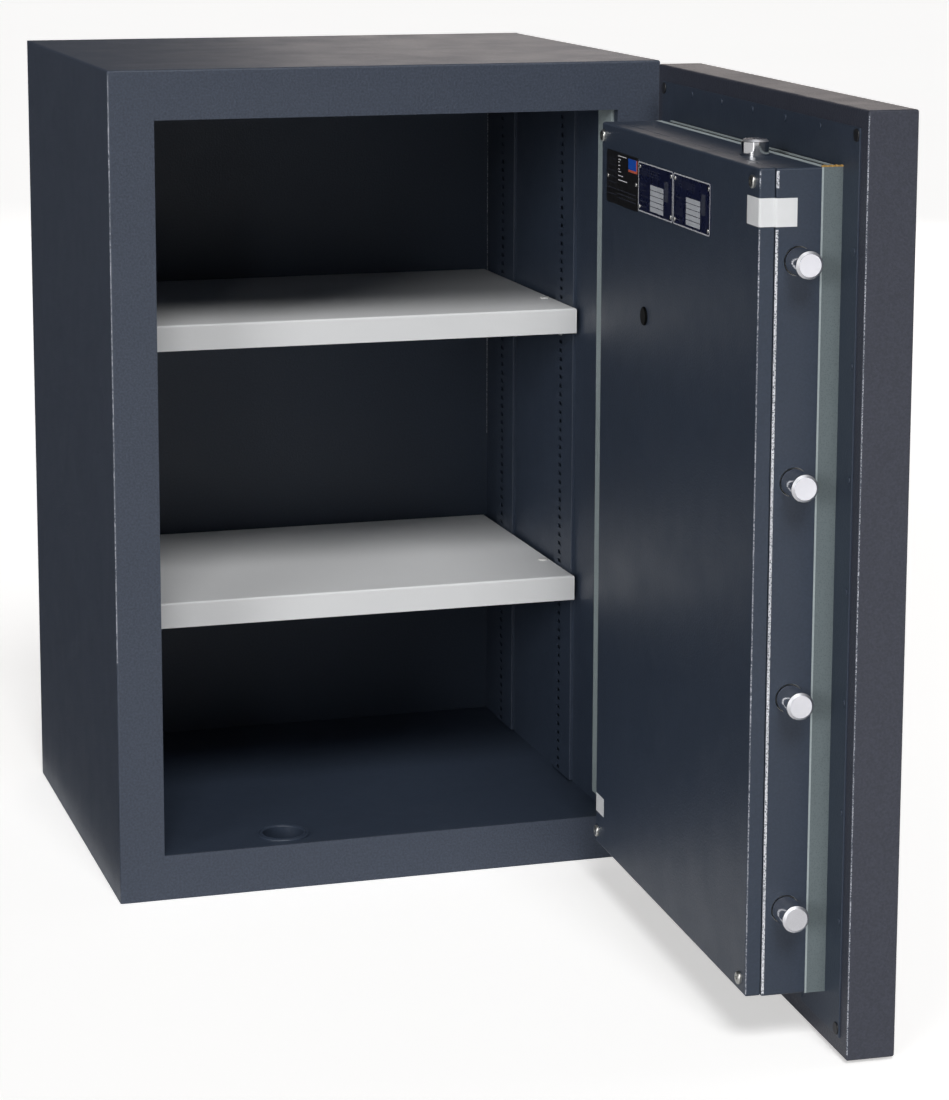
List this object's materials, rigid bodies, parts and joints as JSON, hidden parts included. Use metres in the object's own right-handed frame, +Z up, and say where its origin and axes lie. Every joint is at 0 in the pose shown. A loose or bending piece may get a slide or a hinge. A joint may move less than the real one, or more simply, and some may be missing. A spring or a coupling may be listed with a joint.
{
  "type": "safe",
  "caption": "Free-standing fire and burglary safe with an open hinged door, four side bolts, one top bolt, a key lock and adjustable shelves.",
  "frame": {"origin": "middle of the cabinet's underside, on the floor", "axes": "+X to the hinge side, +Y towards the cabinet's back, +Z up; the front faces -Y"},
  "size_m": [0.6495, 1.1409, 0.885],
  "materials": {
    "outer_paint": "textured powder coat, satin",
    "inner_paint": "smooth powder coat, satin",
    "shelf_paint": "smooth powder coat, satin",
    "seal_strip": "matte expanding fire seal",
    "cast_fill": "matte cast fire-resistant fill",
    "bolt_chrome": "polished",
    "handle_chrome": "satin chrome",
    "zinc_steel": "zinc plated",
    "black_plastic": "matte",
    "white_plastic": "matte",
    "data_plate": "printed, satin",
    "grade_plate": "printed, satin",
    "label_film": "blank film",
    "brass": "satin"
  },
  "bodies": {
    "cabinet": {"outer_shell": "outer_paint", "back_panel": "outer_paint", "base_panel": "outer_paint", "fill_left": "cast_fill", "fill_right": "cast_fill", "fill_top": "cast_fill", "fill_bottom": "cast_fill", "fill_back": "cast_fill", "inner_liner": "inner_paint", "bolt_sockets": "zinc_steel", "anchor_cup": "inner_paint", "jamb_seal": "seal_strip", "upright_front_left": "inner_paint", "upright_front_right": "inner_paint", "upright_back_left": "inner_paint", "upright_back_right": "inner_paint", "upper_shelf": "shelf_paint", "lower_shelf": "shelf_paint", "upper_shelf_clips": "zinc_steel", "lower_shelf_clips": "zinc_steel", "upper_shelf_plug": "white_plastic", "lower_shelf_plug": "white_plastic", "hinge_leaves_body": "outer_paint", "hinge_pins": "zinc_steel", "hinge_washers": "zinc_steel"},
    "door": {"hinge_leaves_door": "outer_paint", "door_skin": "outer_paint", "hard_plate": "zinc_steel", "door_fill": "cast_fill", "door_inner_plate": "inner_paint", "plate_fixings": "zinc_steel", "corner_plugs": "black_plastic", "plug_core": "cast_fill", "door_seal_side": "seal_strip", "door_seal_ends": "seal_strip", "bolt_box": "inner_paint", "bolt_cover": "inner_paint", "cover_posts": "zinc_steel", "cover_screws": "zinc_steel", "cover_plug": "black_plastic", "data_plate_outer": "data_plate", "data_plate_middle": "data_plate", "grade_plate": "grade_plate", "plate_rivets": "zinc_steel", "stickers": "label_film", "bolt_guides": "zinc_steel", "handle_bush": "handle_chrome", "lock_case": "zinc_steel", "lock_cover": "zinc_steel", "lock_screws": "zinc_steel", "escutcheon": "handle_chrome"},
    "boltwork": {"side_bolts": "bolt_chrome", "bolt_nuts": "zinc_steel", "bolt_bar": "zinc_steel"},
    "top_bolt": {"top_bolt": "bolt_chrome"},
    "handle": {"handle_spindle": "zinc_steel", "handle_lever": "handle_chrome"},
    "lock_bolt": {"lock_bolt": "zinc_steel"},
    "key_curtain": {"key_curtain": "brass"},
    "keyhole_cover": {"keyhole_cover": "handle_chrome"}
  },
  "joints": [
    {"name": "door_swing", "type": "hinge", "parent": "cabinet", "child": "door", "pos_m": [0.309, -0.2795, 0.4425], "axis": [0, 0, 1], "range_deg": [-87.5, 92.5]},
    {"name": "handle_turn", "type": "hinge", "parent": "door", "child": "handle", "pos_m": [0.3347, -0.69952, 0.467], "axis": [-0.999, 0.0436, 0], "range_deg": [0, 90]},
    {"name": "boltwork_throw", "type": "slide", "parent": "door", "child": "boltwork", "axis": [0.0436, 0.999, 0], "range_m": [0, 0.03]},
    {"name": "top_bolt_throw", "type": "slide", "parent": "door", "child": "top_bolt", "axis": [0, 0, -1], "range_m": [0, 0.014]},
    {"name": "key_turn", "type": "hinge", "parent": "door", "child": "key_curtain", "pos_m": [0.2435, -0.68603, 0.614], "axis": [-0.999, 0.0436, 0], "range_deg": [0, 180]},
    {"name": "lock_bolt_throw", "type": "slide", "parent": "door", "child": "lock_bolt", "axis": [0, 0, -1], "range_m": [0, 0.014]},
    {"name": "keyhole_cover_swing", "type": "hinge", "parent": "door", "child": "keyhole_cover", "pos_m": [0.31913, -0.68933, 0.634], "axis": [-0.999, 0.0436, 0], "range_deg": [-110, 110]}
  ],
  "couplings": [
    {"joint": "boltwork_throw", "follows": "handle_turn", "m_per_rad": 0.019099},
    {"joint": "top_bolt_throw", "follows": "handle_turn", "m_per_rad": 0.0089127},
    {"joint": "key_turn", "follows": "lock_bolt_throw", "rad_per_m": 224.4}
  ]
}
